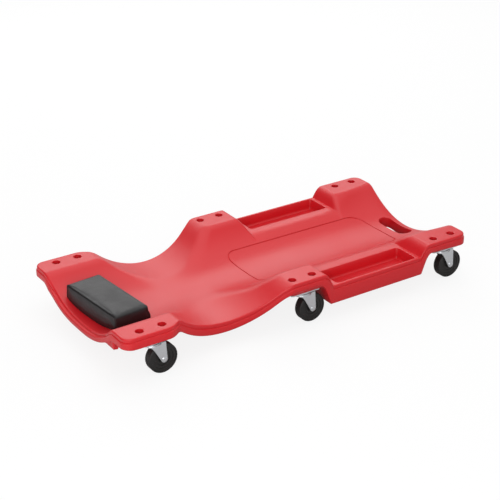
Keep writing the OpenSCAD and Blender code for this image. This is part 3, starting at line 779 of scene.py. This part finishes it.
PRESSURE = 4
MOST_MOVE = 0.001
STAPLED_H = 7
stapled = [k for k, flat in enumerate(pad_flat) if flat.z < STAPLED_H]
stuffed(pad, PRESSURE, MOST_MOVE, stapled)

# the seams, drawn in after the stuffing, and the fold at the near end's foot-side corner
FOLD_IN = 7.5
FOLD_DEPTH = 1.1
FOLD_PUFF = 0.8
inward = Vector((math.cos(REST_TURN), math.sin(REST_TURN), 0)) / 1000
endward = Vector((-math.sin(REST_TURN), math.cos(REST_TURN), 0)) / 1000
for vert, flat in zip(pad.data.vertices, pad_flat):
    if abs(flat.x) > PAD_HALF_X - 0.1:
        off_line = min(PAD_H - flat.z, PAD_HALF_Y - abs(flat.y)) - SEAM_IN
        depth = SEAM_DEPTH * math.exp(-(off_line / SEAM_W) ** 2)
        vert.co -= inward * math.copysign(depth, flat.x)
    if flat.y < 0.1 - PAD_HALF_Y and flat.z < PAD_H - 3:
        fold = PAD_HALF_X - FOLD_IN - flat.x
        puff = FOLD_PUFF * math.exp(-((fold + 4) / 3) ** 2)
        vert.co += endward * (FOLD_DEPTH * math.exp(-(fold / 1.4) ** 2) - puff)
rounder = pad.modifiers.new("rounder", "SUBSURF")
rounder.levels = rounder.render_levels = 1
with_modifiers(pad)
pad.data.shade_smooth()

vinyl = mottled(
    "black_vinyl", (0.007, 0.006, 0.007), (0.011, 0.010, 0.011), 0.42, patches=30,
    roughness_drift=0.2, grain=1300, grain_height=0.12, waves=45, wave_height=0.5,
)
vinyl.node_tree.nodes["Principled BSDF"].inputs["Specular IOR Level"].default_value = 0.42
wear([pad], vinyl)
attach(pad, "bed")
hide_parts("headrest_pad")

ply = mottled(
    "bent_plywood", (0.5, 0.33, 0.16), (0.62, 0.44, 0.24), 0.7, patches=60,
    roughness_drift=0.1, grain=500, grain_height=0.1, waves=20, wave_height=0.1,
)
wear([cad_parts["headrest_base"]], ply)

# Casters: bright zinc-plated pressed steel round a ring of balls, with riveted pins and axles.
# Two bolts with washers and nuts hold each one under its pad. The frame's pieces are kept as
# they are, and only get their finish here.
STATIONS = [f"{place}_{side}" for place in CASTER_X for side in ("left", "right")]


def at_stations(part):
    """A caster's piece of the frame, at each of the six stations."""
    return [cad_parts[f"{part}_{station}"] for station in STATIONS]


zinc = mottled(
    "bright_zinc", (0.82, 0.84, 0.86), (0.7, 0.72, 0.75), 0.32, 1.0, patches=260,
    roughness_drift=0.2, grain=700, grain_height=0.02, waves=60, wave_height=0.15,
)
for part in ("plate", "king_pin", "fork", "axle", "bush"):
    wear(at_stations(part), zinc)
for name in ("headrest_screws", "caster_bolts", "caster_washers", "caster_nuts"):
    wear([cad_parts[name]], zinc)
steel = mottled(
    "ball_steel", (0.7, 0.7, 0.7), (0.62, 0.62, 0.62), 0.12, 1.0, patches=400,
    roughness_drift=0.06, grain=900, grain_height=0.005, waves=100, wave_height=0,
)
wear(at_stations("balls"), steel)

# Wheels: black polyolefin, moulded in one piece with a stepped side. They turn on steel bushes,
# and they too are the frame's pieces.
black = mottled(
    "black_polyolefin", (0.009, 0.008, 0.008), (0.015, 0.013, 0.012), 0.5, patches=90,
    roughness_drift=0.2, grain=1100, grain_height=0.06, waves=40, wave_height=0.2,
)
wear(at_stations("wheel"), black)

# View, floor and light: a camera fitted to the photograph, and a white studio with dim soft
# lamps over the board, behind its far side and before the head end
FOCAL_PX = 1277
PHOTO_PX = 500
VIEW_TURN = math.radians(-33.907)
VIEW_HEIGHT = math.radians(25.866)
VIEW_AIM = Vector((0.0515, 0.103, 0.06))
VIEW_DISTANCE = 3.3765
camera = bpy.data.cameras.new("camera")
camera.sensor_width = 36
camera.lens = FOCAL_PX / PHOTO_PX * camera.sensor_width
camera_object = bpy.data.objects.new("camera", camera)
bpy.context.collection.objects.link(camera_object)
back = Vector((
    math.sin(VIEW_TURN) * math.cos(VIEW_HEIGHT),
    -math.cos(VIEW_TURN) * math.cos(VIEW_HEIGHT),
    math.sin(VIEW_HEIGHT),
))
camera_object.location = VIEW_AIM + back * VIEW_DISTANCE
camera_object.rotation_euler = back.to_track_quat("Z", "Y").to_euler()
bpy.context.scene.camera = camera_object

FLOOR_HALF = 6000
floor_mesh = bmesh.new()
bmesh.ops.create_grid(floor_mesh, x_segments=1, y_segments=1, size=FLOOR_HALF)
floor = placed(floor_mesh, "floor")


def seen_straight(tree, rays):
    """One where the camera sees the surface, straight or through something clear, else zero."""
    return arithmetic(tree, "MAXIMUM", rays["Is Camera Ray"], rays["Is Transmission Ray"])


def axes(tree, kind):
    """X, Y and Z of one kind of texture coordinates, as three sockets."""
    place = tree.nodes.new("ShaderNodeTexCoord")
    split = tree.nodes.new("ShaderNodeSeparateXYZ")
    feed(tree, split.inputs["Vector"], place.outputs[kind])
    return split.outputs


def eased_from(tree, value, *limits):
    """A value mapped from between the first two limits to between the last two, eased."""
    node = tree.nodes.new("ShaderNodeMapRange")
    node.interpolation_type = "SMOOTHSTEP"
    for name, limit in zip(("From Min", "From Max", "To Min", "To Max"), limits):
        node.inputs[name].default_value = limit
    feed(tree, node.inputs["Value"], value)
    return node.outputs["Result"]


# a white floor that still takes a faint shadow, and throws back only half of what falls on it,
# but all of it beyond the head end
white, white_shader = finish("white_floor", (0.9, 0.9, 0.9), 0.9)
wear([floor], white)
tree = white.node_tree
rays = tree.nodes.new("ShaderNodeLightPath").outputs
seen = seen_straight(tree, rays)
beyond_head = eased_from(tree, axes(tree, "Object")["X"], -0.45, -0.65, 0, 1)
pale = arithmetic(tree, "MAXIMUM", seen, beyond_head)
ground = colour_mix(tree, pale, (0.45, 0.45, 0.45, 1), (0.9, 0.9, 0.9, 1))
feed(tree, white_shader.inputs["Base Color"], ground)
mirrored = arithmetic(tree, "MULTIPLY", rays["Is Glossy Ray"], 0.08)
shown = arithmetic(tree, "MULTIPLY_ADD", seen, 0.86, mirrored)
glow = tree.nodes.new("ShaderNodeEmission")
laid = tree.nodes.new("ShaderNodeMixShader")
feed(tree, laid.inputs["Fac"], shown)
feed(tree, laid.inputs[1], white_shader.outputs["BSDF"])
feed(tree, laid.inputs[2], glow.outputs["Emission"])
feed(tree, tree.nodes["Material Output"].inputs["Surface"], laid.outputs["Shader"])

# the studio: white where it is seen, else bright overhead and round the horizon, dim between
# and dark in the corner behind the far head pad
world = bpy.data.worlds.new("studio")
bpy.context.scene.world = world
world.use_nodes = True
tree = world.node_tree
studio = tree.nodes["Background"]
studio.inputs["Color"].default_value = (1, 1, 1, 1)
way = axes(tree, "Generated")
horizon = eased_from(tree, way["Z"], 0.15, 0.45, 0.78, 0.34)
to_head = arithmetic(tree, "MULTIPLY", way["X"], -0.7)
to_corner = arithmetic(tree, "MULTIPLY_ADD", way["Y"], 0.6, to_head)
corner = eased_from(tree, to_corner, 0.5, 0.9, 1, 0.12)
overhead = eased_from(tree, way["Z"], 0.5, 0.8, 0, 0.6)
around = arithmetic(tree, "MULTIPLY_ADD", horizon, corner, overhead)
seen = seen_straight(tree, tree.nodes.new("ShaderNodeLightPath").outputs)
feed(tree, studio.inputs["Strength"], arithmetic(tree, "MAXIMUM", seen, around))

SOFTBOX_AIM = Vector((0, 0, 0.1))


def softbox(name, place, width, height, energy):
    lamp = bpy.data.lights.new(name, "AREA")
    lamp.shape = "RECTANGLE"
    lamp.size, lamp.size_y = width, height
    lamp.energy = energy
    box = bpy.data.objects.new(name, lamp)
    bpy.context.collection.objects.link(box)
    box.location = place
    box.rotation_euler = (Vector(place) - SOFTBOX_AIM).to_track_quat("Z", "Y").to_euler()


softbox("softbox_above", (0.3, 0.3, 2.8), 2.6, 2.4, 16)
softbox("softbox_behind", (1.2, 2.7, 1.9), 3, 1.2, 28)
softbox("softbox_front", (-1.5, -1.9, 1.1), 1.4, 0.8, 20)
bpy.context.scene.view_settings.view_transform = "Standard"
